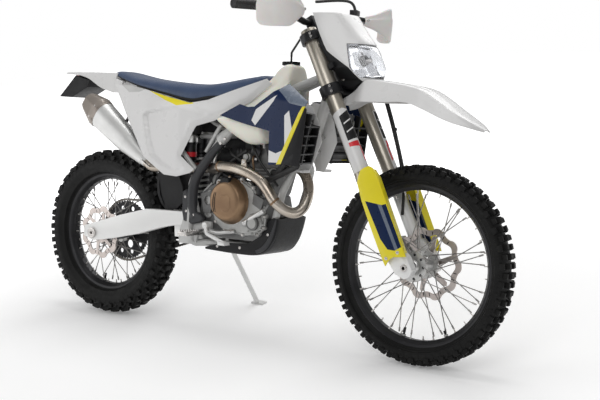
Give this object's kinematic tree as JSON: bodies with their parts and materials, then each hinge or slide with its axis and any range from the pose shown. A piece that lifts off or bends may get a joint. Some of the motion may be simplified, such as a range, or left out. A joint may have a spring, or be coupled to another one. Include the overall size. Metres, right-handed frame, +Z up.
{
  "type": "enduro motorcycle",
  "caption": "Off-road single-cylinder motorcycle leaning on its side stand, with lit front mask, plate holder, long fenders and knobby tyres.",
  "frame": {"origin": "on the ground, at the middle of the bounding box's bottom", "axes": "+X forward, +Y to the rider's left, +Z up; the bike leans to +Y on its side stand"},
  "size_m": [2.1752, 0.8008, 1.3251],
  "materials": {
    "frame_paint": "light grey powder coat",
    "bright_metal": "machined",
    "steel": "brushed",
    "black_metal": "black anodised",
    "cast_metal": "cast, blasted",
    "bronze_metal": "bronze coat on cast cover",
    "header_steel": "heat tinted",
    "black_plastic": "grained black",
    "white_plastic": "smooth moulded white",
    "tank_plastic": "translucent cream",
    "rubber": "matt rubber",
    "navy_plastic": "smooth navy",
    "seat_cover": "grained slate-blue vinyl",
    "lens": "clear",
    "grey_plastic": "dark grey, satin",
    "chain_steel": "oiled",
    "fork_metal": "champagne anodised",
    "yellow_plastic": "smooth yellow",
    "handguard_plastic": "soft white",
    "tyre": "knobby rubber"
  },
  "bodies": {
    "frame": {"main_frame": "frame_paint", "subframe": "frame_paint", "swingarm": "bright_metal", "rear_axle": "steel", "shock": "black_metal", "shock_linkage": "bright_metal", "engine_cases": "cast_metal", "cylinder": "cast_metal", "engine_covers": "bronze_metal", "exhaust_header": "header_steel", "silencer": "steel", "radiators": "bright_metal", "radiator_guards": "black_plastic", "air_guides": "white_plastic", "fuel_tank": "tank_plastic", "filler_cap": "black_plastic", "breather_hose": "rubber", "coolant_hose": "rubber", "radiator_shrouds": "navy_plastic", "side_panels": "white_plastic", "seat": "seat_cover", "rear_fender": "white_plastic", "plate_holder": "black_plastic", "tail_lamp": "lens", "skid_plate": "black_plastic", "frame_guards": "grey_plastic", "footpegs": "steel", "foot_levers": "bright_metal", "drive_chain": "chain_steel", "chain_guide": "black_plastic", "rear_caliper": "black_metal", "airbox": "black_plastic", "throttle_body": "rubber"},
    "steering": {"triple_clamps": "black_metal", "fork_outer_tubes": "fork_metal", "fork_lower_legs": "bright_metal", "fork_guards": "yellow_plastic", "front_axle": "steel", "front_caliper": "bright_metal", "handlebar": "black_metal", "bar_mounts": "black_metal", "handguards": "handguard_plastic", "headlight_mask": "white_plastic", "headlight": "lens", "headlight_bracket": "black_plastic", "front_fender": "white_plastic", "grips": "rubber", "control_levers": "bright_metal", "front_brake_hose": "rubber"},
    "front_wheel": {"front_tyre": "tyre", "front_rim": "black_metal", "front_hub": "bright_metal", "front_disc": "steel"},
    "rear_wheel": {"rear_tyre": "tyre", "rear_rim": "black_metal", "rear_hub": "bright_metal", "rear_disc": "steel", "rear_sprocket": "black_metal"},
    "side_stand": {"side_stand": "bright_metal"}
  },
  "joints": [
    {"name": "steering", "type": "hinge", "parent": "frame", "child": "steering", "pos_m": [0.38006, -0.05175, 0.9383], "axis": [-0.4462, 0.1708, 0.8785], "range_deg": [-42, 42]},
    {"name": "front_wheel_spin", "type": "hinge", "parent": "steering", "child": "front_wheel", "pos_m": [0.73894, -0.16685, 0.34614], "axis": [0, 0.9816, -0.1908], "continuous": true},
    {"name": "rear_wheel_spin", "type": "hinge", "parent": "frame", "child": "rear_wheel", "pos_m": [-0.74294, -0.16762, 0.34221], "axis": [0, 0.9816, -0.1908], "continuous": true},
    {"name": "side_stand_fold", "type": "hinge", "parent": "frame", "child": "side_stand", "pos_m": [-0.25994, -0.02351, 0.34985], "axis": [0, 0.9455, 0.3256], "range_deg": [0, 96]}
  ]
}
